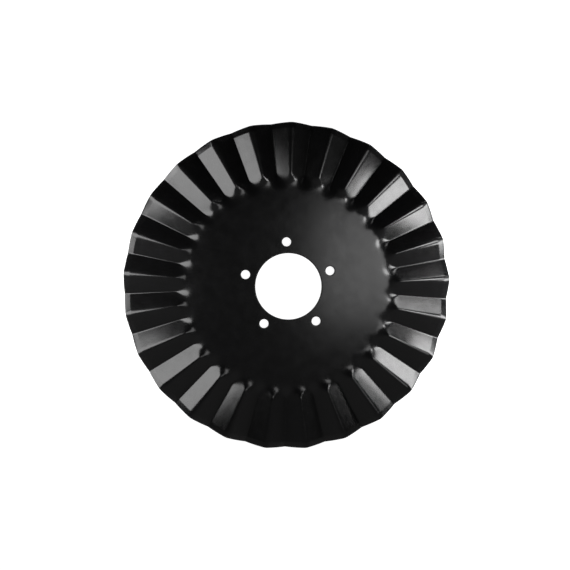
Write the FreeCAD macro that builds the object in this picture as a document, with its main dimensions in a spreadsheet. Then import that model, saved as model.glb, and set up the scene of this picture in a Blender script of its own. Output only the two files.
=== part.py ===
"""Fluted coulter disc: one flat steel plate, pressed into radial flutes and bevelled at the rim.

Frame: the disc lies flat, with +Z along its axis and the origin at the middle of the hub bore.
All lengths are millimetres and all angles degrees.
"""

import FreeCAD, Part
import Sketcher
import math
import os

PARTS_FOLDER = "parts"
NODE = "fluted_disc"
AXIS = FreeCAD.Vector(0, 0, 1)

# The four strips of one flute's section, in order from the crest.
CREST, FALLING, TROUGH, RISING = range(4)

# Where the falling and the rising face cross the middle plane, in pitches from the crest.
FALLING_CROSSING = 0.25
RISING_CROSSING = 0.75

# The search for the faces' slope: the steepest face that a press could make, and how often it halves.
STEEPEST_FACE = math.radians(60)
SLOPE_SEARCH_STEPS = 60

# How closely faces meet, in millimetres, and how closely a cut must match its volume, as a share.
SEWING_TOLERANCE = 0.001
CUT_TOLERANCE = 0.001

# Sketcher's numbers for the centre of a circle and for the sketch's own origin.
CENTRE = 3
SKETCH_ORIGIN = -1
ORIGIN_POINT = 1

DRIVING_SIZES = [
    # alias, value, what it is
    ("disc_diameter", 457.0, "across the rim, an 18 inch blade"),
    ("plate_thickness", 5.0, "steel plate before pressing"),
    ("flute_count", 25, "crests around the disc"),
    ("flute_width", 19.0, "over the crests of both faces, where the bevels begin"),
    ("first_crest_angle", 2.5, "from +X to the first crest"),
    ("hub_flat_diameter", 272.0, "flat middle, inside the flutes"),
    ("root_run", 21.0, "radial length of the ramps from the flat middle to the flutes' folds"),
    ("inside_fold_radius", 2.2, "inside of a fold at the rim, in proportion further in"),
    ("bevel_width", 8.0, "radial width of the bevel on each face"),
    ("edge_land", 1.5, "plate left between the two bevels at the rim"),
    ("bore_diameter", 93.0, "hub bore"),
    ("bolt_circle_diameter", 125.0, "through the centres of the bolt holes"),
    ("bolt_hole_diameter", 12.5, "clear hole for a 12 mm bolt"),
    ("bolt_count", 5, "evenly spaced bolt holes"),
    ("first_bolt_angle", 92.5, "from +X to the first bolt hole"),
]


def make_sizes(doc):
    """The spreadsheet that holds every driving size under its own name."""
    sheet = doc.addObject("Spreadsheet::Sheet", "sizes")
    for row, (alias, value, meaning) in enumerate(DRIVING_SIZES, start=1):
        sheet.set(f"A{row}", alias)
        sheet.set(f"B{row}", str(value))
        sheet.setAlias(f"B{row}", alias)
        sheet.set(f"C{row}", meaning)
    doc.recompute()
    return sheet


class FluteWave:
    """The front skin of the pressed wave: flat faces, joined by a round fold at each crest and each trough.

    Faces and folds lie on rays from one point on the axis, so the flutes widen and deepen towards the rim,
    and every height is a rise per millimetre of radius. Angles are counted from a crest.
    The back is this skin turned over.
    """

    def __init__(self, sizes):
        self.rim = sizes.disc_diameter / 2
        self.bevel_start = self.rim - sizes.bevel_width
        self.hub_edge = sizes.hub_flat_diameter / 2
        self.root_end = self.hub_edge + sizes.root_run
        self.half_plate = sizes.plate_thickness / 2
        self.half_land = sizes.edge_land / 2
        self.pitch = 2 * math.pi / int(sizes.flute_count)
        self.first_crest = math.radians(sizes.first_crest_angle)
        self.inside_fold = sizes.inside_fold_radius / self.rim
        self.plate = sizes.plate_thickness / self.rim
        self.slope = self._slope_for(sizes.flute_width / 2)
        self.outside_fold = self._outside_fold(self.slope)
        self.crest_half = self.outside_fold * math.sin(self.slope)
        self.trough_half = self.inside_fold * math.sin(self.slope)

    def _outside_fold(self, slope):
        """Radius of the outside of a fold: the inside radius and the plate, thinned by the press."""
        return self.inside_fold + self.plate * math.cos(slope)

    def fold_rise(self, fold, slope):
        """Rise of the middle of a fold of the given radius above the middle plane."""
        face_top = math.tan(slope) * math.sin(self.pitch / 4 - fold * math.sin(slope))
        return face_top + fold * (1 - math.cos(slope))

    def _slope_for(self, crest_height):
        """Slope of the faces that brings the crests to a height above the middle plane at the bevel."""
        low, high = 0.0, STEEPEST_FACE
        for _ in range(SLOPE_SEARCH_STEPS):
            middle = (low + high) / 2
            rise = self.fold_rise(self._outside_fold(middle), middle)
            if self.half_plate + self.bevel_start * rise < crest_height:
                low = middle
            else:
                high = middle
        return (low + high) / 2

    def _from_crest(self, angle):
        """The angle from the nearest crest, negative before it."""
        return (angle + self.pitch / 2) % self.pitch - self.pitch / 2

    def rise(self, angle):
        """Height of a flat face over one millimetre of radius, at an edge of the face."""
        return math.tan(self.slope) * math.sin(self.pitch / 4 - abs(self._from_crest(angle)))

    def climb(self, angle):
        """Rate at which that height changes with the angle."""
        from_crest = self._from_crest(angle)
        steepness = math.tan(self.slope) * math.cos(self.pitch / 4 - abs(from_crest))
        return -math.copysign(steepness, from_crest)

    def place(self, radius, angle, height):
        """A point at a radius, an angle from the first crest and a height."""
        turned = angle + self.first_crest
        return FreeCAD.Vector(radius * math.cos(turned), radius * math.sin(turned), height)

    def heading(self, angle):
        """Direction of a section at an edge of a face, one millimetre long."""
        turned = angle + self.first_crest
        return FreeCAD.Vector(-math.sin(turned), math.cos(turned), self.climb(angle)).normalize()

    def strip(self, radius, half_thickness, start, end):
        """Four poles of the smooth curve that a fold or a face makes at a radius, between two angles."""
        first, last = (
            self.place(radius, angle, half_thickness + radius * self.rise(angle)) for angle in (start, end)
        )
        reach = first.distanceToPoint(last) / 3
        return [first, first + self.heading(start) * reach, last - self.heading(end) * reach, last]

    def section(self, radius, half_thickness):
        """One pitch of the skin at a radius: crest fold, falling face, trough fold, rising face."""
        half = self.pitch / 2
        limits = [-self.crest_half, self.crest_half, half - self.trough_half, half + self.trough_half]
        limits.append(self.pitch - self.crest_half)
        return [
            self.strip(radius, half_thickness, start, end) for start, end in zip(limits[:-1], limits[1:])
        ]

    def hub_corners(self):
        """Corners of the flat hub over one pitch, where the faces' pointed inner ends reach it."""
        crossings = (RISING_CROSSING - 1, FALLING_CROSSING, RISING_CROSSING)
        return [self.place(self.hub_edge, crossing * self.pitch, self.half_plate) for crossing in crossings]

    def ramp_top(self):
        """Point on the middle of a crest at which the ramp from the hub ends."""
        rise = self.fold_rise(self.outside_fold, self.slope)
        return self.place(self.root_end, 0.0, self.half_plate + self.root_end * rise)

    def ramp_bottom(self):
        """Point on the middle of a trough at which the ramp from the hub ends."""
        fall = self.fold_rise(self.inside_fold, self.slope)
        return self.place(self.root_end, self.pitch / 2, self.half_plate - self.root_end * fall)

    def cut_by_ramp(self, row, corners, ramp_end):
        """Poles and weights of the curve in which a fold's rays meet the plane of its ramp."""
        source = FreeCAD.Vector(0, 0, self.half_plate)
        normal = (corners[1] - corners[0]).cross(ramp_end - corners[0])
        shares = [(ramp_end - source).dot(normal) / (pole - source).dot(normal) for pole in row]
        poles = [source + (pole - source) * share for pole, share in zip(row, shares)]
        return poles, [1 / share for share in shares]

    def turned_over(self, shape, crossing=FALLING_CROSSING):
        """A copy of a shape of the front, turned over about a line in which a face crosses the middle."""
        angle = self.first_crest + crossing * self.pitch
        copy = shape.copy()
        copy.rotate(FreeCAD.Vector(), FreeCAD.Vector(math.cos(angle), math.sin(angle), 0), 180)
        return copy


def curve(poles, weights=None):
    """The edge with these poles."""
    bezier = Part.BezierCurve()
    bezier.setPoles(poles)
    for number, weight in enumerate(weights or [], start=1):
        bezier.setWeight(number, weight)
    return bezier.toShape()


def ruled_patch(inner, outer, inner_weights=None):
    """The face of straight lines between two rows of poles."""
    surface = Part.BezierSurface()
    surface.increase(1, len(inner) - 1)
    for number, (inside, outside) in enumerate(zip(inner, outer), start=1):
        surface.setPole(1, number, inside)
        surface.setPole(2, number, outside)
        if inner_weights:
            surface.setWeight(1, number, inner_weights[number - 1])
    return surface.toShape()


def flat_face(outline):
    """The flat face inside an outline of edges and of points joined by straight lines."""
    edges = []
    last = outline[-1]
    for item in outline:
        start = item if isinstance(item, FreeCAD.Vector) else item.firstVertex().Point
        end = last if isinstance(last, FreeCAD.Vector) else last.lastVertex().Point
        edges.append(Part.makeLine(end, start))
        if not isinstance(item, FreeCAD.Vector):
            edges.append(item)
        last = item
    return Part.Face(Part.Wire(edges))


def fold_and_ramp(wave, corners, ramp_end, shoulder):
    """A fold, the flat ramp from its inner end to the hub, and the two corners of that inner end."""
    poles, weights = wave.cut_by_ramp(shoulder, corners, ramp_end)
    fold = ruled_patch(poles, shoulder, weights)
    ramp = flat_face([corners[1], corners[0], curve(poles, weights)])
    return [fold, ramp], poles[0], poles[-1]


def front_skin(wave):
    """The front of one flute, from the flat hub to the edge at the rim."""
    before_crest, after_crest, after_trough = wave.hub_corners()
    shoulder = wave.section(wave.bevel_start, wave.half_plate)
    edge = wave.section(wave.rim, wave.half_land)
    crest_faces, crest_start, crest_end = fold_and_ramp(
        wave, (before_crest, after_crest), wave.ramp_top(), shoulder[CREST]
    )
    trough_faces, trough_start, trough_end = fold_and_ramp(
        wave, (after_crest, after_trough), wave.ramp_bottom(), shoulder[TROUGH]
    )
    next_crest_start = FreeCAD.Rotation(AXIS, math.degrees(wave.pitch)).multVec(crest_start)
    faces = crest_faces + trough_faces
    faces.append(flat_face([trough_start, after_crest, crest_end, curve(shoulder[FALLING])]))
    faces.append(flat_face([next_crest_start, after_trough, trough_end, curve(shoulder[RISING])]))
    faces += [ruled_patch(inner, outer) for inner, outer in zip(shoulder, edge)]
    return faces


def rim_band(wave):
    """The narrow land at the rim over one pitch, from the front edge to the back edge."""
    front = wave.section(wave.rim, wave.half_land)
    faces = []
    for strip, partner, crossing in (
        (CREST, TROUGH, FALLING_CROSSING),
        (FALLING, FALLING, FALLING_CROSSING),
        (TROUGH, CREST, FALLING_CROSSING),
        (RISING, RISING, RISING_CROSSING),
    ):
        back = wave.turned_over(curve(front[partner]), crossing).Curve.getPoles()
        faces.append(ruled_patch(front[strip], back[::-1]))
    return faces


def around_axis(shapes, wave):
    """Copies of the shapes at every flute."""
    turned = []
    for number in range(round(2 * math.pi / wave.pitch)):
        for shape in shapes:
            copy = shape.copy()
            copy.rotate(FreeCAD.Vector(), AXIS, math.degrees(wave.pitch) * number)
            turned.append(copy)
    return turned


def pressed_plate_shape(sizes):
    """The whole plate as one solid, before its holes are cut."""
    wave = FluteWave(sizes)
    corners = wave.hub_corners()
    hub_sides = [Part.makeLine(start, end) for start, end in zip(corners[:-1], corners[1:])]
    front = around_axis(front_skin(wave), wave)
    front.append(Part.Face(Part.Wire(around_axis(hub_sides, wave))))
    back = [wave.turned_over(face) for face in front]
    shell = Part.makeShell(front + back + around_axis(rim_band(wave), wave))
    shell.sewShape(SEWING_TOLERANCE)
    solid = Part.makeSolid(shell)
    if solid.Volume < 0:
        solid.reverse()
    return solid


def add_pressed_plate(doc, sizes):
    """The pressed and bevelled plate. No sketch or primitive gives its folded wave, so Part builds it."""
    plate = doc.addObject("Part::Feature", "pressed_plate")
    plate.Shape = pressed_plate_shape(sizes)
    plate.Placement = FreeCAD.Placement()
    return plate


def origin_item(body, role):
    """One of the body's own origin planes or axes."""
    return next(item for item in body.Origin.OriginFeatures if item.Role == role)


def add_hub_face_sketch(body, name):
    """An empty sketch on the flat front of the hub, from which a cut goes down through the plate."""
    sketch = body.newObject("Sketcher::SketchObject", name)
    sketch.AttachmentSupport = [(origin_item(body, "XY_Plane"), "")]
    sketch.MapMode = "FlatFace"
    sketch.setExpression("AttachmentOffset.Base.z", "sizes.plate_thickness / 2")
    return sketch


def add_bore(body, sizes):
    """The hub bore, cut through from a circle on the axis."""
    sketch = add_hub_face_sketch(body, "bore_sketch")
    outline = Part.Circle(FreeCAD.Vector(), AXIS, sizes.bore_diameter / 2)
    circle = sketch.addGeometry(outline, False)
    sketch.addConstraint(Sketcher.Constraint("Coincident", circle, CENTRE, SKETCH_ORIGIN, ORIGIN_POINT))
    across = sketch.addConstraint(Sketcher.Constraint("Diameter", circle, sizes.bore_diameter))
    sketch.setExpression(f"Constraints[{across}]", "sizes.bore_diameter")
    bore = body.newObject("PartDesign::Pocket", "bore")
    bore.Profile = sketch
    bore.Type = "ThroughAll"
    return bore


def add_bolt_holes(doc, body, sizes):
    """One clear hole on the bolt circle, repeated around the axis."""
    sketch = add_hub_face_sketch(body, "bolt_hole_sketch")
    turned = math.radians(sizes.first_bolt_angle)
    distance = sizes.bolt_circle_diameter / 2
    centre = FreeCAD.Vector(distance * math.cos(turned), distance * math.sin(turned), 0)
    outline = Part.Circle(centre, AXIS, sizes.bolt_hole_diameter / 2)
    circle = sketch.addGeometry(outline, False)
    for axis, share, place in (("X", "cos", centre.x), ("Y", "sin", centre.y)):
        held = Sketcher.Constraint(f"Distance{axis}", SKETCH_ORIGIN, ORIGIN_POINT, circle, CENTRE, place)
        number = sketch.addConstraint(held)
        along = f"sizes.bolt_circle_diameter / 2 * {share}(sizes.first_bolt_angle)"
        sketch.setExpression(f"Constraints[{number}]", along)
    across = sketch.addConstraint(Sketcher.Constraint("Diameter", circle, sizes.bolt_hole_diameter))
    sketch.setExpression(f"Constraints[{across}]", "sizes.bolt_hole_diameter")
    doc.recompute()
    hole = body.newObject("PartDesign::Hole", "bolt_hole")
    hole.Profile = sketch
    hole.DepthType = "ThroughAll"
    hole.setExpression("Diameter", "sizes.bolt_hole_diameter")
    holes = body.newObject("PartDesign::PolarPattern", "bolt_holes")
    holes.Originals = [hole]
    holes.Axis = (origin_item(body, "Z_Axis"), [""])
    holes.Angle = 360
    holes.setExpression("Occurrences", "sizes.bolt_count")
    body.Tip = holes
    return holes


def confirm_cut(before, after, diameter, count, sizes):
    """Stop if a cut didn't take away its round holes, whole and through the plate."""
    expected = count * math.pi / 4 * diameter**2 * sizes.plate_thickness
    removed = before.Shape.Volume - after.Shape.Volume
    if abs(removed - expected) > CUT_TOLERANCE * expected:
        raise RuntimeError(f"{after.Label} removed {removed:.0f} mm3 and not {expected:.0f} mm3")


def confirm_sound(doc, sub_parts):
    """Stop if any object failed or a sub-part has no valid solid."""
    for item in doc.Objects:
        if "Invalid" in item.State or "Error" in item.State:
            raise RuntimeError(f"{item.Label} failed: {item.State}")
    for sub_part in sub_parts:
        if sub_part.Shape.isNull() or not sub_part.Shape.isValid() or len(sub_part.Shape.Solids) != 1:
            raise RuntimeError(f"{sub_part.Label} isn't one valid solid")


def main():
    """Build the disc and write its solid."""
    doc = FreeCAD.newDocument("fluted_coulter_disc")
    sizes = make_sizes(doc)
    plate = add_pressed_plate(doc, sizes)
    disc = doc.addObject("PartDesign::Body", NODE)
    disc.Label = NODE
    disc.BaseFeature = plate
    bore = add_bore(disc, sizes)
    bolt_holes = add_bolt_holes(doc, disc, sizes)
    disc.Placement = FreeCAD.Placement()
    doc.recompute()
    confirm_sound(doc, [disc])
    confirm_cut(plate, bore, sizes.bore_diameter, 1, sizes)
    confirm_cut(bore, bolt_holes, sizes.bolt_hole_diameter, sizes.bolt_count, sizes)
    os.makedirs(PARTS_FOLDER, exist_ok=True)
    disc.Shape.exportStep(os.path.join(PARTS_FOLDER, f"{disc.Label}.step"))
    box = disc.Shape.BoundBox
    print(f"{disc.Label}: {box.XLength:.2f} x {box.YLength:.2f} x {box.ZLength:.2f} mm,"
          f" {disc.Shape.Volume / 1000:.1f} cm3, {len(disc.Shape.Faces)} faces")


main()
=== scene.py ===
"""Looks of the fluted coulter disc: the painted plate, the floor, the lamps and the camera.

The disc lies flat as it comes to rest, with the face of the photograph upwards and the
photograph's top towards +Y. One Geometry Nodes rule presses a flat blank into a flute, repeats
it around the axis, fills the hub, and turns the skin over for the back.
"""

import logging
import math
from dataclasses import dataclass
from enum import Enum

import bpy
from mathutils import Matrix, Vector


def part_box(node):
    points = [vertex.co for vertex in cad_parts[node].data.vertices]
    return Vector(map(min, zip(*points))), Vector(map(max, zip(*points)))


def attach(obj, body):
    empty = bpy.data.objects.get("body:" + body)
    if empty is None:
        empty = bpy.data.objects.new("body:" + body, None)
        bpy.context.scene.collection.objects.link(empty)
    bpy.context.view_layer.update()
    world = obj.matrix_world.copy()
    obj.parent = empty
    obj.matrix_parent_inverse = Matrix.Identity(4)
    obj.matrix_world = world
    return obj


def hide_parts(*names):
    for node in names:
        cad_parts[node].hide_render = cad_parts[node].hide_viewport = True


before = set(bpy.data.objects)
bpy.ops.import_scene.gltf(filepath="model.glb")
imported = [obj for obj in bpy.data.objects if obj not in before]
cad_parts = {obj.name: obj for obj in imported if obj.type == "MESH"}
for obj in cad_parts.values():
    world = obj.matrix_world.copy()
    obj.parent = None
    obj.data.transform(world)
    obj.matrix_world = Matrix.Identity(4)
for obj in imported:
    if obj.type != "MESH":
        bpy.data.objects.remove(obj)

LOG = logging.getLogger("fluted_disc_scene")
NODE = "fluted_disc"
BODY = "root"
MM = 0.001
IMAGE_PIXELS = 570
# A point belongs to a zone when its value is this near to the zone's number.
ZONE_MARGIN = 0.1
# A mark, which is 0 or 1, counts from this level.
MARK_LEVEL = 0.9

Inputs = dict[str | int, object]
Row = tuple[float, float, float]
Pair = tuple[object, object]


class Zone(Enum):
    """The regions of the flat blank, each laid out by its own rule."""

    FLUTE = 0
    BORE_EDGE = 1
    BOLT_EDGE = 2


class Named(Enum):
    """Names of the values that the blank's points carry."""

    ZONE = "zone"
    SKIN = "skin"
    HUB_EDGE = "hub_edge"
    EDGE_WEAR = "edge_wear"


def linear(hex_colour: str) -> tuple[float, float, float, float]:
    """Turns an sRGB hex colour into the linear colour that a shader takes.

    Args:
        hex_colour: Six hex digits after a hash sign.

    Returns:
        Linear red, green and blue, and an alpha of one.
    """
    parts = [int(hex_colour[place : place + 2], 16) / 255 for place in (1, 3, 5)]
    red, green, blue = (
        part / 12.92 if part <= 0.04045 else ((part + 0.055) / 1.055) ** 2.4 for part in parts
    )
    return red, green, blue, 1.0


def add_node(
    tree: bpy.types.NodeTree, kind: str, inputs: Inputs | None = None, **settings: object
) -> bpy.types.Node:
    """Adds a node with its settings and links.

    Args:
        tree: The tree that gets the node.
        kind: Blender's name of the node type.
        inputs: What goes to each input, by name or number: an output, a node whose first output
            is meant, or a constant.
        settings: The node's own properties.

    Returns:
        The new node.
    """
    node = tree.nodes.new(kind)
    for name, value in settings.items():
        setattr(node, name, value)
    for key, value in (inputs or {}).items():
        socket = node.inputs[key]
        if isinstance(value, bpy.types.Node):
            value = value.outputs[0]
        if isinstance(value, bpy.types.NodeSocket):
            tree.links.new(value, socket)
        else:
            socket.default_value = value
    return node


def math_node(tree: bpy.types.NodeTree, operation: str, *terms: object) -> bpy.types.Node:
    """Adds a Math node.

    Args:
        tree: The tree that gets the node.
        operation: Blender's name of the operation.
        terms: What it works on, in order.

    Returns:
        The new node.
    """
    return add_node(tree, "ShaderNodeMath", dict(enumerate(terms)), operation=operation)


def mapped_node(
    tree: bpy.types.NodeTree, value: object, reach: Pair, results: Pair, **settings: object
) -> bpy.types.Node:
    """Adds a node that maps one range onto another, and holds its ends beyond them.

    Args:
        tree: The tree that gets the node.
        value: What is mapped.
        reach: The value's range.
        results: What the ends of the range become.
        settings: The node's own properties.

    Returns:
        The new node.
    """
    ends = zip(("From Min", "From Max", "To Min", "To Max"), (*reach, *results))
    return add_node(tree, "ShaderNodeMapRange", {"Value": value, **dict(ends)}, **settings)


def carried_value(tree: bpy.types.NodeTree, name: Named) -> bpy.types.Node:
    """Adds a node that reads a value that the blank's points carry.

    Args:
        tree: The tree that gets the node.
        name: Which value.

    Returns:
        The new node.
    """
    return add_node(
        tree, "GeometryNodeInputNamedAttribute", {"Name": name.value}, data_type="FLOAT"
    )


def joined_node(tree: bpy.types.NodeTree, *pieces: bpy.types.Node) -> bpy.types.Node:
    """Adds a node that joins pieces of geometry.

    Args:
        tree: The tree that gets the node.
        pieces: The nodes that give the pieces.

    Returns:
        The new node.
    """
    node = tree.nodes.new("GeometryNodeJoinGeometry")
    for piece in pieces:
        tree.links.new(piece.outputs[0], node.inputs[0])
    return node


def placed_round(
    tree: bpy.types.NodeTree, turn: object, distance: object, height: object = 0.0
) -> bpy.types.Node:
    """Adds the nodes that place a point by its angle and distance from the axis.

    Args:
        tree: The tree that gets the nodes.
        turn: The angle.
        distance: The distance from the axis.
        height: The height above the middle of the plate.

    Returns:
        The node whose output is the place.
    """
    sides = []
    for part in ("COSINE", "SINE"):
        share = math_node(tree, part, turn)
        sides.append(math_node(tree, "MULTIPLY", share, distance))
    return add_node(tree, "ShaderNodeCombineXYZ", {"X": sides[0], "Y": sides[1], "Z": height})


def new_group(name: str, inputs: dict[str, str], outputs: dict[str, str]) -> bpy.types.NodeTree:
    """Makes an empty Geometry Nodes tree with named inputs and outputs.

    Args:
        name: The tree's name.
        inputs: Socket type of each input, by name.
        outputs: Socket type of each output, by name.

    Returns:
        The tree, with its two end nodes named "in" and "out".
    """
    tree = bpy.data.node_groups.new(name, "GeometryNodeTree")
    for label, kind in inputs.items():
        tree.interface.new_socket(label, in_out="INPUT", socket_type=kind)
    for label, kind in outputs.items():
        tree.interface.new_socket(label, in_out="OUTPUT", socket_type=kind)
    tree.nodes.new("NodeGroupInput").name = "in"
    tree.nodes.new("NodeGroupOutput").name = "out"
    return tree


@dataclass
class FluteWave:
    """Sizes of the pressed wave, in metres and radians. Folds are per metre of radius."""

    rim_radius: float
    top_height: float
    bevel_width: float = 8.0 * MM
    root_end: float = 160.0 * MM
    half_plate: float = 2.5 * MM
    half_land: float = 0.75 * MM
    flute_count: int = 25
    first_crest: float = math.radians(2.5)
    # With this slope the flutes measure about 19 mm over both faces.
    slope: float = math.radians(29.9155)
    inside_fold: float = 2.2 / 228.5
    plate_share: float = 5.0 / 228.5
    widest_fold: float = 11.5 / 220.5
    crest_end: float = 14.1 * MM
    trough_end: float = 18.3 * MM

    @property
    def pitch(self) -> float:
        """Angle from crest to crest."""
        return 2 * math.pi / self.flute_count

    @property
    def bevel_start(self) -> float:
        """Radius at which the bevel begins."""
        return self.rim_radius - self.bevel_width

    @property
    def outside_fold(self) -> float:
        """Radius of the outside of a fold."""
        return self.inside_fold + self.plate_share * math.cos(self.slope)

    @property
    def crest_half(self) -> float:
        """Half the angle that the crest's fold takes."""
        return self.outside_fold * math.sin(self.slope)

    @property
    def trough_half(self) -> float:
        """Half the angle that the trough's fold takes."""
        return self.inside_fold * math.sin(self.slope)

    @property
    def widest_half(self) -> float:
        """Half the angle that the crest's fold takes where it is widest, at the bevel."""
        return self.widest_fold * math.sin(self.slope)

    @property
    def line_climb(self) -> float:
        """Climb of an unfolded crest line for each metre outwards."""
        return math.tan(self.slope) * math.sin(self.pitch / 4)

    @property
    def turn_line(self) -> float:
        """Angle of the radial line about which the front turns over into the back."""
        return self.first_crest + self.pitch / 4

    @property
    def depth(self) -> float:
        """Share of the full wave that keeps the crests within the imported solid's own height."""
        full = self.half_plate + self.bevel_start * self.fold_rise(self.outside_fold)
        return min(1.0, (self.top_height - self.half_plate) / (full - self.half_plate))

    def fold_rise(self, fold: float) -> float:
        """Rise of the middle of a fold per metre of radius.

        Args:
            fold: Radius of the fold per metre of radius.

        Returns:
            The rise above the middle plane.
        """
        edge = math.tan(self.slope) * math.sin(self.pitch / 4 - fold * math.sin(self.slope))
        return edge + fold * (1 - math.cos(self.slope))

    def end_rounding(self, fold: float) -> float:
        """Length by which the pointed end of a crest or trough is rounded, to suit its fold.

        Args:
            fold: Radius of the fold per metre of radius.

        Returns:
            The rounding's length.
        """
        drop = fold * self.root_end * (1 / math.cos(self.slope) - 1)
        return drop / math.tan(self.slope)

    def half_thickness(self, radius: float, rounding: float = 0.12 * MM) -> float:
        """Half of the plate's thickness, which the bevel takes down towards the rim.

        Args:
            radius: Distance from the axis.
            rounding: How far the bevel's shoulder is softened.

        Returns:
            The height of the skin above the plate's middle.
        """
        drop = (self.half_plate - self.half_land) / self.bevel_width
        bevel = self.half_land + (self.rim_radius - radius) * drop
        overlap = max(rounding - abs(self.half_plate - bevel), 0.0) / rounding
        return min(self.half_plate, bevel) - overlap * overlap * rounding / 4


def spaced(stops: list[tuple[float, int]]) -> list[float]:
    """Fills in even steps between stops.

    Args:
        stops: Each stop's value, and the number of steps that lead to it.

    Returns:
        Every value in order, the first stop's included.
    """
    values = [stops[0][0]]
    for (start, _), (end, steps) in zip(stops[:-1], stops[1:]):
        values += [start + (end - start) * step / steps for step in range(1, steps + 1)]
    return values


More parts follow.
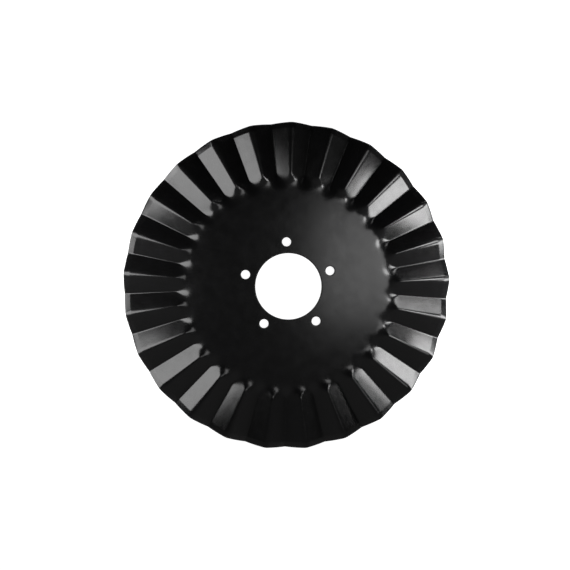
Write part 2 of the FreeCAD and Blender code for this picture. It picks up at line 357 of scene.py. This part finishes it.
@dataclass
class PressedPlate:
    """The disc: one steel plate with a hub, flutes, a bevelled rim, a bore and bolt holes."""

    wave: FluteWave
    bore_radius: float = 46.5 * MM
    bolt_circle_radius: float = 62.5 * MM
    bolt_hole_radius: float = 6.25 * MM
    bolt_count: int = 5
    first_bolt: float = math.radians(92.5)
    hole_rounding: float = 0.8 * MM
    hole_margin: float = 0.8 * MM
    bore_steps: int = 144
    bolt_steps: int = 40
    rounding_steps: int = 3
    worn_rows: int = 4
    blank_start: float = 124.0 * MM
    ends_start: float = 134.0 * MM
    ends_stop: float = 158.0 * MM
    faces_start: float = 164.0 * MM
    shoulder_reach: float = 0.8 * MM
    rim_corner: float = 0.35 * MM
    bend_softness: float = 4.5 * MM
    end_softness: float = 1.8 * MM
    end_clearance: float = 0.9 * MM
    uneven_share: float = 0.02
    uneven_size: float = 60.0 * MM
    seed: float = 4.0
    merge_distance: float = 0.004 * MM
    crease: float = math.radians(42)

    def cell_angles(self) -> list[float]:
        """Angles of the blank's columns over one flute, from trough to trough.

        They are the same from a crest as from a trough, so the skins meet at the rim.
        """
        wave = self.wave
        half = wave.pitch / 2
        widest = wave.widest_half
        fold = spaced([(0.0, 0), (wave.trough_half, 2), (wave.crest_half, 2), (widest, 2)])
        side = spaced([(widest, 0), (half - widest, 9)])
        side = fold[:-1] + side + [half - angle for angle in fold[-2::-1]]
        return [-angle for angle in side[:0:-1]] + side

    def cell_rows(self) -> list[Row]:
        """Radius, half thickness and skin share of the blank's rows, from the hub over the rim."""
        wave = self.wave
        shoulder = wave.bevel_start
        corner = self.rim_corner
        stops = [
            (self.blank_start, 0),
            (self.ends_start, 2),
            (self.ends_stop, 20),
            (self.faces_start, 3),
            (shoulder - self.shoulder_reach, 6),
            (shoulder + self.shoulder_reach, 4),
            (wave.rim_radius - corner, 3),
        ]
        rows = [(radius, wave.half_thickness(radius), 1.0) for radius in spaced(stops)]
        # The corner of the rim is rounded in two short steps, down to the middle of the land.
        land = wave.half_land
        rows.append((wave.rim_radius - 0.3 * corner, land - 0.1 * corner, 1.0))
        rows.append((wave.rim_radius, land - 0.7 * corner, 1.0))
        rows.append((wave.rim_radius, 0.0, 0.0))
        return rows

    def hole_rows(self) -> list[Row]:
        """Distance beyond a hole's wall, height and skin share, from mid-wall out onto the face."""
        half = self.wave.half_plate
        rows = [(0.0, 0.0, 1.0)]
        for step in range(self.rounding_steps + 1):
            turn = math.radians(90 * step / self.rounding_steps)
            out = self.hole_rounding * (1 - math.cos(turn))
            rows.append((out, half - self.hole_rounding * (1 - math.sin(turn)), 1.0))
        rows.append((self.hole_rounding + self.hole_margin, half, 1.0))
        return rows

    def blank(self) -> bpy.types.Mesh:
        """Makes the flat blank: one flute, one bore edge and one bolt hole edge.

        Returns:
            A mesh whose points hold an angle, a distance and a height, for the rule to wrap.
        """
        points: list[Row] = []
        faces: list[tuple[int, int, int, int]] = []
        values: dict[Named, list[float]] = {name: [] for name in Named}
        around = {
            Zone.BORE_EDGE: spaced([(0.0, 0), (2 * math.pi, self.bore_steps)]),
            Zone.BOLT_EDGE: spaced([(0.0, 0), (2 * math.pi, self.bolt_steps)]),
        }
        for zone in Zone:
            flute = zone is Zone.FLUTE
            columns = self.cell_angles() if flute else around[zone]
            rows = self.cell_rows() if flute else self.hole_rows()
            hub_row = 0 if flute else len(rows) - 1
            rim_rows = range(len(rows) - self.worn_rows, len(rows))
            edge_rows = rim_rows if flute else range(self.worn_rows)
            start = len(points)
            for column, angle in enumerate(columns):
                for row, (distance, height, skin) in enumerate(rows):
                    points.append((angle, distance, height))
                    values[Named.ZONE].append(float(zone.value))
                    values[Named.SKIN].append(skin)
                    values[Named.HUB_EDGE].append(float(row == hub_row))
                    values[Named.EDGE_WEAR].append(float(row in edge_rows))
                    if column and row:
                        here = start + column * len(rows) + row
                        before = here - len(rows)
                        faces.append((before - 1, before, here, here - 1))
        mesh = bpy.data.meshes.new("flat_blank")
        mesh.from_pydata(points, [], faces)
        for name, numbers in values.items():
            attribute = mesh.attributes.new(name.value, "FLOAT", "POINT")
            attribute.data.foreach_set("value", numbers)
        return mesh

    def wave_group(self) -> bpy.types.NodeTree:
        """Builds the rule of the folded wave: two flat faces, and round folds between them.

        Returns:
            A tree that turns an angle from the crest into a rise per metre of radius.
        """
        sockets = {
            "From Crest": "NodeSocketFloat",
            "Crest Fold": "NodeSocketFloat",
            "Trough Fold": "NodeSocketFloat",
            "Slope": "NodeSocketFloat",
            "Pitch": "NodeSocketFloat",
        }
        tree = new_group("folded_wave", sockets, {"Rise": "NodeSocketFloat"})
        given = tree.nodes["in"].outputs
        quarter = math_node(tree, "MULTIPLY", given["Pitch"], 0.25)
        half = math_node(tree, "MULTIPLY", given["Pitch"], 0.5)
        sine = math_node(tree, "SINE", given["Slope"])
        cosine = math_node(tree, "COSINE", given["Slope"])
        steepness = math_node(tree, "TANGENT", given["Slope"])
        from_trough = math_node(tree, "SUBTRACT", half, given["From Crest"])
        bulges = []
        limits = []
        for fold, offset in (
            (given["Crest Fold"], given["From Crest"]),
            (given["Trough Fold"], from_trough),
        ):
            reach = math_node(tree, "MULTIPLY", fold, sine)
            within = math_node(tree, "MINIMUM", offset, reach)
            fold_squared = math_node(tree, "MULTIPLY", fold, fold)
            offset_squared = math_node(tree, "MULTIPLY", within, within)
            left = math_node(tree, "SUBTRACT", fold_squared, offset_squared)
            arc = math_node(tree, "SQRT", left)
            chord = math_node(tree, "MULTIPLY", fold, cosine)
            bulges.append(math_node(tree, "SUBTRACT", arc, chord))
            limits.append(reach)
        far_limit = math_node(tree, "SUBTRACT", half, limits[1])
        on_face = add_node(
            tree,
            "ShaderNodeClamp",
            {"Value": given["From Crest"], "Min": limits[0], "Max": far_limit},
        )
        ahead = math_node(tree, "SUBTRACT", quarter, on_face)
        swing = math_node(tree, "SINE", ahead)
        face = math_node(tree, "MULTIPLY", steepness, swing)
        with_crest = math_node(tree, "ADD", face, bulges[0])
        rise = math_node(tree, "SUBTRACT", with_crest, bulges[1])
        tree.links.new(rise.outputs[0], tree.nodes["out"].inputs["Rise"])
        return tree

    def size_sockets(self) -> dict[str, float]:
        """Names and values of the rule's size inputs."""
        wave = self.wave
        return {
            "Flute Count": float(wave.flute_count),
            "Pitch": wave.pitch,
            "First Crest": wave.first_crest,
            "Slope": wave.slope,
            "Outside Fold": wave.outside_fold,
            "Inside Fold": wave.inside_fold,
            "Widest Fold": wave.widest_fold,
            "Depth": wave.depth,
            "Root End": wave.root_end,
            "Bevel Start": wave.bevel_start,
            "Rim Radius": wave.rim_radius,
            "Root Height": wave.root_end * wave.line_climb,
            "Line Climb": wave.line_climb,
            "Steepness": math.tan(wave.slope),
            "Root Half Width": wave.root_end * math.sin(wave.pitch / 4),
            "Crest End": wave.crest_end,
            "Trough End": wave.trough_end,
            "Crest Rounding": wave.end_rounding(wave.outside_fold),
            "Trough Rounding": wave.end_rounding(wave.inside_fold),
            "Bend Softness": self.bend_softness,
            "End Softness": self.end_softness,
            "End Clearance": self.end_clearance,
            "Half Plate": wave.half_plate,
            "Bore Radius": self.bore_radius,
            "Bolt Circle Radius": self.bolt_circle_radius,
            "Bolt Hole Radius": self.bolt_hole_radius,
            "Bolt Count": float(self.bolt_count),
            "Turn Line": wave.turn_line,
            "Uneven Share": self.uneven_share,
            "Uneven Scale": 1 / self.uneven_size,
            "Seed": self.seed,
            "Merge Distance": self.merge_distance,
            "Crease": self.crease,
        }

    def press_group(self, folded_wave: bpy.types.NodeTree) -> bpy.types.NodeTree:
        """Builds the rule that presses the flute's blank and lays it along its ray.

        Args:
            folded_wave: The rule of the wave's rise.

        Returns:
            A tree that takes the flute's blank and gives the pressed flute.
        """
        sockets = {"Geometry": "NodeSocketGeometry"}
        sockets |= {name: "NodeSocketFloat" for name in self.size_sockets()}
        tree = new_group("pressed_flute", sockets, {"Geometry": "NodeSocketGeometry"})
        given = tree.nodes["in"].outputs
        place = add_node(tree, "GeometryNodeInputPosition")
        blank = add_node(tree, "ShaderNodeSeparateXYZ", {0: place}).outputs
        angle, radius, height = blank["X"], blank["Y"], blank["Z"]
        skin = carried_value(tree, Named.SKIN)
        from_crest = math_node(tree, "ABSOLUTE", angle)
        half = math_node(tree, "MULTIPLY", given["Pitch"], 0.5)
        from_trough = math_node(tree, "SUBTRACT", half, from_crest)
        fold_sum = math_node(tree, "ADD", given["Outside Fold"], given["Inside Fold"])
        middle_fold = math_node(tree, "MULTIPLY", fold_sum, 0.5)
        widened = mapped_node(
            tree,
            radius,
            (given["Root End"], given["Bevel Start"]),
            (given["Outside Fold"], given["Widest Fold"]),
        )
        front_crest = mapped_node(
            tree,
            radius,
            (given["Bevel Start"], given["Rim Radius"]),
            (widened, given["Outside Fold"]),
        )
        heights = []
        for crest_fold, trough_fold in (
            (front_crest, given["Inside Fold"]),
            (middle_fold, middle_fold),
        ):
            folds = {"Crest Fold": crest_fold, "Trough Fold": trough_fold}
            shared = {"From Crest": from_crest, "Slope": given["Slope"], "Pitch": given["Pitch"]}
            rise = add_node(tree, "GeometryNodeGroup", folds | shared, node_tree=folded_wave)
            pressed = math_node(tree, "MULTIPLY", rise, given["Depth"])
            heights.append(math_node(tree, "MULTIPLY", pressed, radius))
        ends = []
        for offset, rounding, end in (
            (from_crest, given["Crest Rounding"], given["Crest End"]),
            (from_trough, given["Trough Rounding"], given["Trough End"]),
        ):
            cosine = math_node(tree, "COSINE", offset)
            sine = math_node(tree, "SINE", offset)
            along = math_node(tree, "MULTIPLY", radius, cosine)
            across = math_node(tree, "MULTIPLY", radius, sine)
            past = math_node(tree, "SUBTRACT", along, given["Root End"])
            short = math_node(tree, "SUBTRACT", given["Root End"], along)
            inside = math_node(tree, "MAXIMUM", short, 0.0)
            share = math_node(tree, "DIVIDE", inside, end)
            drawn = math_node(tree, "MULTIPLY", share, given["Root Half Width"])
            spread = add_node(
                tree, "ShaderNodeCombineXYZ", {"X": drawn, "Y": across, "Z": rounding}
            )
            away = add_node(tree, "ShaderNodeVectorMath", {0: spread}, operation="LENGTH")
            fall = math_node(tree, "MULTIPLY", away.outputs["Value"], given["Steepness"])
            line = math_node(tree, "MULTIPLY_ADD", past, given["Line Climb"], given["Root Height"])
            clear = math_node(tree, "ADD", line, given["End Clearance"])
            cone = math_node(tree, "SUBTRACT", clear, fall)
            ends.append(math_node(tree, "MULTIPLY", cone, given["Depth"]))
        pit_floor = math_node(tree, "MULTIPLY", ends[1], -1.0)
        softness = given["End Softness"]
        hill = math_node(tree, "SMOOTH_MIN", heights[0], ends[0], softness)
        pit = math_node(tree, "SMOOTH_MAX", heights[0], pit_floor, softness)
        bend = given["Bend Softness"]
        above = math_node(tree, "SMOOTH_MAX", hill, 0.0, bend)
        below = math_node(tree, "SMOOTH_MIN", pit, 0.0, bend)
        skin_height = math_node(tree, "ADD", above, below)
        middle = add_node(
            tree,
            "ShaderNodeMix",
            {"Factor": skin, "A": heights[1], "B": skin_height},
            data_type="FLOAT",
        )
        lifted = math_node(tree, "ADD", middle, height)
        turned = math_node(tree, "ADD", angle, given["First Crest"])
        laid = placed_round(tree, turned, radius, lifted)
        moved = add_node(
            tree, "GeometryNodeSetPosition", {"Geometry": given["Geometry"], "Position": laid}
        )
        tree.links.new(moved.outputs[0], tree.nodes["out"].inputs["Geometry"])
        return tree

    def skin_group(self, pressed_flute: bpy.types.NodeTree) -> bpy.types.NodeTree:
        """Builds the rule of one whole skin: flutes around the axis, hole edges and the flat hub.

        Args:
            pressed_flute: The rule that presses one flute.

        Returns:
            A tree that takes the blank and gives the front skin.
        """
        sockets = {"Geometry": "NodeSocketGeometry", "First Bolt": "NodeSocketFloat"}
        sockets |= {name: "NodeSocketFloat" for name in self.size_sockets()}
        tree = new_group("plate_skin", sockets, {"Geometry": "NodeSocketGeometry"})
        given = tree.nodes["in"].outputs
        zone = carried_value(tree, Named.ZONE)
        zones = {}
        for kind in Zone:
            same = add_node(
                tree,
                "FunctionNodeCompare",
                {"A": zone, "B": float(kind.value), "Epsilon": ZONE_MARGIN},
                data_type="FLOAT",
                operation="EQUAL",
            )
            zones[kind] = add_node(
                tree,
                "GeometryNodeSeparateGeometry",
                {"Geometry": given["Geometry"], "Selection": same},
                domain="FACE",
            )
        sizes = {name: given[name] for name in self.size_sockets()}
        flute = add_node(
            tree,
            "GeometryNodeGroup",
            {"Geometry": zones[Zone.FLUTE], **sizes},
            node_tree=pressed_flute,
        )
        place = add_node(tree, "GeometryNodeInputPosition")
        blank = add_node(tree, "ShaderNodeSeparateXYZ", {0: place}).outputs
        edges = {}
        for kind, hole_radius in (
            (Zone.BORE_EDGE, given["Bore Radius"]),
            (Zone.BOLT_EDGE, given["Bolt Hole Radius"]),
        ):
            distance = math_node(tree, "ADD", blank["Y"], hole_radius)
            laid = placed_round(tree, blank["X"], distance, blank["Z"])
            edges[kind] = add_node(
                tree, "GeometryNodeSetPosition", {"Geometry": zones[kind], "Position": laid}
            )
        number = add_node(tree, "GeometryNodeInputIndex")
        repeats = []
        for shape, count, start, distance in (
            (flute, given["Flute Count"], 0.0, 0.0),
            (
                edges[Zone.BOLT_EDGE],
                given["Bolt Count"],
                given["First Bolt"],
                given["Bolt Circle Radius"],
            ),
        ):
            step = math_node(tree, "DIVIDE", 2 * math.pi, count)
            turned = math_node(tree, "MULTIPLY", number, step)
            turn = math_node(tree, "ADD", turned, start)
            spot = placed_round(tree, turn, distance)
            points = add_node(
                tree, "GeometryNodePoints", {"Count": count, "Position": spot, "Radius": MM}
            )
            rotation = add_node(tree, "ShaderNodeCombineXYZ", {"Z": turn})
            copies = add_node(
                tree,
                "GeometryNodeInstanceOnPoints",
                {"Points": points, "Instance": shape, "Rotation": rotation},
            )
            repeats.append(add_node(tree, "GeometryNodeRealizeInstances", {0: copies}))
        bore_turn = add_node(tree, "ShaderNodeCombineXYZ", {"Z": given["Turn Line"]})
        bore = add_node(
            tree,
            "GeometryNodeTransform",
            {"Geometry": edges[Zone.BORE_EDGE], "Rotation": bore_turn},
        )
        ring = joined_node(tree, bore, repeats[1], repeats[0])
        joined = add_node(
            tree,
            "GeometryNodeMergeByDistance",
            {"Geometry": ring, "Distance": given["Merge Distance"]},
        )
        on_hub_edge = carried_value(tree, Named.HUB_EDGE)
        marked = add_node(
            tree,
            "FunctionNodeCompare",
            {"A": on_hub_edge, "B": MARK_LEVEL},
            data_type="FLOAT",
            operation="GREATER_THAN",
        )
        outline = add_node(
            tree, "GeometryNodeMeshToCurve", {"Mesh": joined, "Selection": marked}
        )
        filled = add_node(tree, "GeometryNodeFillCurve", {"Curve": outline}, mode="TRIANGLES")
        lift = add_node(tree, "ShaderNodeCombineXYZ", {"Z": given["Half Plate"]})
        hub = add_node(
            tree, "GeometryNodeTransform", {"Geometry": filled, "Translation": lift}
        )
        whole = joined_node(tree, hub, joined)
        tree.links.new(whole.outputs[0], tree.nodes["out"].inputs["Geometry"])
        return tree

    def disc_group(self) -> bpy.types.NodeTree:
        """Builds the whole rule: a front skin, its turned-over back, and one slightly uneven shell.

        Returns:
            The tree for the modifier.
        """
        skin_rule = self.skin_group(self.press_group(self.wave_group()))
        sockets = {"Geometry": "NodeSocketGeometry", "First Bolt": "NodeSocketFloat"}
        sockets |= {name: "NodeSocketFloat" for name in self.size_sockets()}
        sockets["Paint"] = "NodeSocketMaterial"
        tree = new_group("fluted_disc_rule", sockets, {"Geometry": "NodeSocketGeometry"})
        given = tree.nodes["in"].outputs
        double = math_node(tree, "MULTIPLY", given["Turn Line"], 2.0)
        back_bolt = math_node(tree, "SUBTRACT", double, given["First Bolt"])
        sizes = {name: given[name] for name in self.size_sockets()}
        skins = [
            add_node(
                tree,
                "GeometryNodeGroup",
                {"Geometry": given["Geometry"], "First Bolt": first_bolt, **sizes},
                node_tree=skin_rule,
            )
            for first_bolt in (given["First Bolt"], back_bolt)
        ]
        over = add_node(tree, "ShaderNodeCombineXYZ", {"X": math.pi, "Z": double})
        back = add_node(
            tree, "GeometryNodeTransform", {"Geometry": skins[1], "Rotation": over}
        )
        both = joined_node(tree, back, skins[0])
        place = add_node(tree, "GeometryNodeInputPosition")
        flat = add_node(
            tree, "ShaderNodeVectorMath", {0: place, 1: (1.0, 1.0, 0.0)}, operation="MULTIPLY"
        )
        uneven = add_node(
            tree,
            "ShaderNodeTexNoise",
            {"Vector": flat, "W": given["Seed"], "Scale": given["Uneven Scale"], "Detail": 1.0},
            noise_dimensions="4D",
        )
        loss = math_node(tree, "MULTIPLY", uneven, given["Uneven Share"])
        kept = math_node(tree, "SUBTRACT", 1.0, loss)
        squeeze = add_node(tree, "ShaderNodeCombineXYZ", {"X": 1.0, "Y": 1.0, "Z": kept})
        relaxed = add_node(
            tree, "ShaderNodeVectorMath", {0: place, 1: squeeze}, operation="MULTIPLY"
        )
        shaped = add_node(tree, "GeometryNodeSetPosition", {"Geometry": both, "Position": relaxed})
        merged = add_node(
            tree,
            "GeometryNodeMergeByDistance",
            {"Geometry": shaped, "Distance": given["Merge Distance"]},
        )
        smooth = add_node(tree, "GeometryNodeSetShadeSmooth", {"Geometry": merged}, domain="FACE")
        bend = add_node(tree, "GeometryNodeInputMeshEdgeAngle")
        sharp = add_node(
            tree,
            "FunctionNodeCompare",
            {"A": bend, "B": given["Crease"]},
            data_type="FLOAT",
            operation="GREATER_THAN",
        )
        creased = add_node(
            tree,
            "GeometryNodeSetShadeSmooth",
            {"Geometry": smooth, "Selection": sharp, "Shade Smooth": False},
            domain="EDGE",
        )
        real = add_node(tree, "GeometryNodeRealizeInstances", {0: creased})
        painted = add_node(
            tree, "GeometryNodeSetMaterial", {"Geometry": real, "Material": given["Paint"]}
        )
        tree.links.new(painted.outputs[0], tree.nodes["out"].inputs["Geometry"])
        return tree

    def build(self, paint: bpy.types.Material) -> bpy.types.Object:
        """Makes the disc as a plain mesh, with its place in its mesh.

        Args:
            paint: The material of the whole disc.

        Returns:
            The disc's object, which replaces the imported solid.
        """
        blank = bpy.data.objects.new("flat_blank", self.blank())
        bpy.context.scene.collection.objects.link(blank)
        rule = blank.modifiers.new("press", "NODES")
        rule.node_group = self.disc_group()
        values: dict[str, object] = {"First Bolt": self.first_bolt, "Paint": paint}
        values |= self.size_sockets()
        for item in rule.node_group.interface.items_tree:
            if item.in_out == "INPUT" and item.name in values:
                rule[item.identifier] = values[item.name]
        graph = bpy.context.evaluated_depsgraph_get()
        mesh = bpy.data.meshes.new_from_object(blank.evaluated_get(graph), depsgraph=graph)
        mesh.name = "painted_disc"
        bpy.data.objects.remove(blank)
        disc = bpy.data.objects.new("painted_disc", mesh)
        bpy.context.scene.collection.objects.link(disc)
        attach(disc, BODY)
        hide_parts(NODE)
        LOG.info("%s has %d points and %d faces", disc.name, len(mesh.vertices), len(mesh.polygons))
        return disc


@dataclass(frozen=True)
class SemiGlossPaint:
    """Black semi-gloss enamel, sprayed on pressed steel: near black, with a soft broad sheen."""

    thin: str = "#0e0e0f"
    thick: str = "#090909"
    bare_edge: str = "#1c1c1e"
    ior: float = 1.5
    gloss: float = 0.17
    dull: float = 0.24
    mottle_mm: float = 14.0
    mottle_range: tuple[float, float] = (0.3, 0.7)
    peel_mm: float = 2.4
    peel_height_mm: float = 0.012
    grit_gap_mm: float = 5.4
    grit_reach: tuple[float, float] = (0.03, 0.1)
    grit_height_mm: float = 0.02
    swell_mm: float = 30.0
    swell_height_mm: float = 0.05

    def patterns(self, tree: bpy.types.NodeTree) -> dict[str, bpy.types.Node]:
        """Builds the patterns of the coat at their real sizes.

        Args:
            tree: The material's tree.

        Returns:
            The node of each pattern, by name.
        """
        place = add_node(tree, "ShaderNodeTexCoord").outputs["Object"]
        # Cloudy coat thickness, which shows as faint mottling in the sheen of the hub.
        mottle = add_node(
            tree,
            "ShaderNodeTexNoise",
            {"Vector": place, "Scale": 1 / (self.mottle_mm * MM), "Detail": 5.0, "Roughness": 0.6},
        )
        # Orange peel of sprayed enamel. Real peel is near 1 mm, and is drawn coarser here, or no
        # pixel would show it.
        peel = add_node(
            tree,
            "ShaderNodeTexNoise",
            {"Vector": place, "Scale": 1 / (self.peel_mm * MM), "Detail": 2.0, "Roughness": 0.5},
        )
        # Grit that dried into the paint: small raised specks, a few millimetres apart.
        spread = add_node(
            tree,
            "ShaderNodeTexVoronoi",
            {"Vector": place, "Scale": 1 / (self.grit_gap_mm * MM), "Randomness": 1.0},
        )
        grit = mapped_node(tree, spread.outputs["Distance"], self.grit_reach, (1.0, 0.0))
        # Slow swell left by the press, which bends the reflections a little.
        swell = add_node(
            tree,
            "ShaderNodeTexNoise",
            {"Vector": place, "Scale": 1 / (self.swell_mm * MM), "Detail": 1.0},
        )
        return {"mottle": mottle, "peel": peel, "grit": grit, "swell": swell}

    def relief(
        self, tree: bpy.types.NodeTree, patterns: dict[str, bpy.types.Node]
    ) -> bpy.types.Node:
        """Raises swell, peel and grit one over the other.

        Args:
            tree: The material's tree.
            patterns: The node of each pattern, by name.

        Returns:
            The node whose output is the surface's direction.
        """
        heights = {
            "swell": self.swell_height_mm,
            "peel": self.peel_height_mm,
            "grit": self.grit_height_mm,
        }
        under: Inputs = {}
        for name, height in heights.items():
            raised = {"Height": patterns[name], "Strength": 1.0, "Distance": height * MM}
            under = {"Normal": add_node(tree, "ShaderNodeBump", raised | under)}
        return under["Normal"]

    def material(self) -> bpy.types.Material:
        """Builds the paint.

        Returns:
            The material.
        """
        made = bpy.data.materials.new("semi_gloss_black_enamel")
        made.use_nodes = True
        tree = made.node_tree
        tree.nodes.clear()
        patterns = self.patterns(tree)
        rough = mapped_node(
            tree, patterns["mottle"], self.mottle_range, (self.gloss, self.dull)
        )
        shade = add_node(
            tree,
            "ShaderNodeMix",
            {0: patterns["mottle"], 6: linear(self.thick), 7: linear(self.thin)},
            data_type="RGBA",
        )
        # Paint draws back from the rim and the edges of the holes, so they look a little paler.
        worn = add_node(tree, "ShaderNodeAttribute", attribute_name=Named.EDGE_WEAR.value)
        tint = add_node(
            tree,
            "ShaderNodeMix",
            {0: worn.outputs["Fac"], 6: shade.outputs[2], 7: linear(self.bare_edge)},
            data_type="RGBA",
        )
        shader = add_node(
            tree,
            "ShaderNodeBsdfPrincipled",
            {
                "IOR": self.ior,
                "Roughness": rough,
                "Base Color": tint.outputs[2],
                "Normal": self.relief(tree, patterns),
            },
        )
        add_node(tree, "ShaderNodeOutputMaterial", {"Surface": shader})
        return made


@dataclass(frozen=True)
class WhiteFloor:
    """A matt white studio sweep that keeps a faint shadow."""

    colour: str = "#c8c8c8"
    glow: float = 0.95

    def material(self) -> bpy.types.Material:
        """Builds the floor's finish: matt white, with the glow of a plain white background.

        Returns:
            The material.
        """
        made = bpy.data.materials.new("white_sweep")
        made.use_nodes = True
        tree = made.node_tree
        tree.nodes.clear()
        path = add_node(tree, "ShaderNodeLightPath").outputs
        seen = path["Is Camera Ray"]
        for other in ("Is Glossy Ray", "Is Transmission Ray"):
            seen = math_node(tree, "MAXIMUM", seen, path[other])
        strength = math_node(tree, "MULTIPLY", seen, self.glow)
        matt = add_node(tree, "ShaderNodeBsdfDiffuse", {"Color": linear(self.colour)})
        glow = add_node(tree, "ShaderNodeEmission", {"Strength": strength})
        both = add_node(tree, "ShaderNodeAddShader", {0: matt, 1: glow})
        add_node(tree, "ShaderNodeOutputMaterial", {"Surface": both})
        return made


@dataclass(frozen=True)
class SoftBox:
    """A softbox, seen only by its light. Sizes are in metres, directions in degrees."""

    name: str
    place: tuple[float, float, float]
    back_azimuth: float
    back_elevation: float
    width: float
    height: float
    radiance: float

    def build(self) -> bpy.types.Object:
        """Makes the lamp, with its back towards the given direction.

        Returns:
            The lamp's object.
        """
        lamp = bpy.data.lights.new(self.name, "AREA")
        lamp.shape = "RECTANGLE"
        lamp.size = self.width
        lamp.size_y = self.height
        # A flat lamp of this power sends out the stated radiance.
        lamp.energy = self.radiance * math.pi * self.width * self.height
        made = bpy.data.objects.new(self.name, lamp)
        bpy.context.scene.collection.objects.link(made)
        turn, climb = math.radians(self.back_azimuth), math.radians(self.back_elevation)
        back = Vector(
            (math.cos(climb) * math.cos(turn), math.cos(climb) * math.sin(turn), math.sin(climb))
        )
        side = Vector((-math.sin(turn), math.cos(turn), 0.0))
        frame_axes = Matrix((side, back.cross(side), back)).transposed().to_4x4()
        made.matrix_world = Matrix.Translation(self.place) @ frame_axes
        made.visible_camera = False
        return made


@dataclass
class Studio:
    """The floor, the surroundings and the camera of the photograph."""

    floor_height: float
    floor_half: float = 12.0
    camera_distance: float = 1.082
    camera_left: float = math.radians(4.12)
    camera_up: float = math.radians(1.88)
    focal_pixels: float = 770.1
    image_centre: tuple[float, float] = (288.46, 286.36)
    sensor: float = 36.0
    clip_start: float = 0.01
    horizon_light: float = 0.8
    horizon_rise: tuple[float, float] = (0.06, 0.26)
    ceiling_light: tuple[float, float] = (0.008, 0.176)
    ceiling_turn: tuple[float, float] = (0.3, -0.7)

    def floor(self, finish: bpy.types.Material) -> bpy.types.Object:
        """Makes the floor under the disc.

        Args:
            finish: The floor's material.

        Returns:
            The floor's object.
        """
        half = self.floor_half
        corners = [(-half, -half), (half, -half), (half, half), (-half, half)]
        mesh = bpy.data.meshes.new("floor")
        mesh.from_pydata([(x, y, self.floor_height) for x, y in corners], [], [(0, 1, 2, 3)])
        mesh.materials.append(finish)
        made = bpy.data.objects.new("floor", mesh)
        bpy.context.scene.collection.objects.link(made)
        return made

    def world(self) -> None:
        """Makes the surroundings: a pale horizon, and a dark ceiling that is lighter towards -Y.

        The camera itself sees plain white.
        """
        world = bpy.data.worlds.new("studio")
        world.use_nodes = True
        tree = world.node_tree
        tree.nodes.clear()
        place = add_node(tree, "ShaderNodeTexCoord").outputs["Generated"]
        heading = add_node(tree, "ShaderNodeSeparateXYZ", {0: place}).outputs
        light = add_node(tree, "ShaderNodeLightPath").outputs["Is Camera Ray"]
        for value, reach, strength in (
            (heading["Z"], self.horizon_rise, (self.horizon_light, 0.0)),
            (heading["Y"], self.ceiling_turn, self.ceiling_light),
        ):
            part = mapped_node(
                tree, value, reach, strength, interpolation_type="SMOOTHSTEP"
            )
            light = math_node(tree, "MAXIMUM", part, light)
        sky = add_node(
            tree, "ShaderNodeBackground", {"Color": linear("#ffffff"), "Strength": light}
        )
        add_node(tree, "ShaderNodeOutputWorld", {"Surface": sky})
        bpy.context.scene.world = world

    def camera(self) -> bpy.types.Object:
        """Makes the camera at the photograph's angle.

        Returns:
            The camera's object.
        """
        left, up = self.camera_left, self.camera_up
        away = Vector((-math.sin(left) * math.cos(up), math.sin(up), math.cos(left) * math.cos(up)))
        right = Vector((0, 1, 0)).cross(away).normalized()
        top = away.cross(right)
        lens = bpy.data.cameras.new("camera")
        lens.sensor_fit = "HORIZONTAL"
        lens.sensor_width = self.sensor
        lens.lens = self.focal_pixels / IMAGE_PIXELS * self.sensor
        middle = IMAGE_PIXELS / 2
        lens.shift_x = (middle - self.image_centre[0]) / IMAGE_PIXELS
        lens.shift_y = (self.image_centre[1] - middle) / IMAGE_PIXELS
        lens.clip_start = self.clip_start
        made = bpy.data.objects.new("camera", lens)
        bpy.context.scene.collection.objects.link(made)
        turn = Matrix((right, top, away)).transposed().to_4x4()
        made.matrix_world = Matrix.Translation(away * self.camera_distance) @ turn
        bpy.context.scene.camera = made
        return made

    def settings(self) -> None:
        """Shows colours as they are written."""
        bpy.context.scene.view_settings.view_transform = "Standard"


# Each lamp states its place, the azimuth and elevation of its back, its width and height, and
# its radiance. The left and right boxes stand close to the rim and light the flutes. The right
# card lights a face that lies nearly level, the crest card the crests, and the bevel cards the
# bevel at the left. The top box gives the hub its sheen.
LAMPS = [
    SoftBox("left_box", (-0.355, 0.05, 0.19), 216.0, 74.0, 0.27, 0.22, 5.9),
    SoftBox("right_box", (0.375, -0.03, 0.105), -33.0, 88.0, 0.13, 0.24, 14.0),
    SoftBox("right_card", (0.39, 0.45, 0.36), 100.0, -32.0, 0.25, 0.18, 12.0),
    SoftBox("crest_card", (0.27, 0.07, 0.30), 0.0, 88.0, 0.09, 0.08, 13.0),
    SoftBox("upper_bevel_card", (-0.375, 0.12, 0.085), 155.0, 20.0, 0.12, 0.07, 5.0),
    SoftBox("lower_bevel_card", (-0.375, -0.06, 0.085), 190.0, 20.0, 0.12, 0.07, 5.0),
    SoftBox("top_box", (0.43, 0.04, 1.0), 0.0, 88.0, 0.32, 0.54, 2.5),
]


def main() -> None:
    """Builds the disc and its studio in order."""
    logging.basicConfig(level=logging.INFO, format="%(name)s: %(message)s")
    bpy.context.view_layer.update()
    low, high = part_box(NODE)
    wave = FluteWave(rim_radius=min(high.x, high.y, -low.x, -low.y), top_height=high.z)
    disc = PressedPlate(wave).build(SemiGlossPaint().material())
    lowest = min(point.co.z for point in disc.data.vertices)
    studio = Studio(floor_height=lowest)
    studio.floor(WhiteFloor().material())
    studio.world()
    for lamp in LAMPS:
        lamp.build()
    studio.camera()
    studio.settings()
    LOG.info("floor at %.2f mm, %d lamps", lowest / MM, len(LAMPS))


if __name__ == "__main__":
    main()
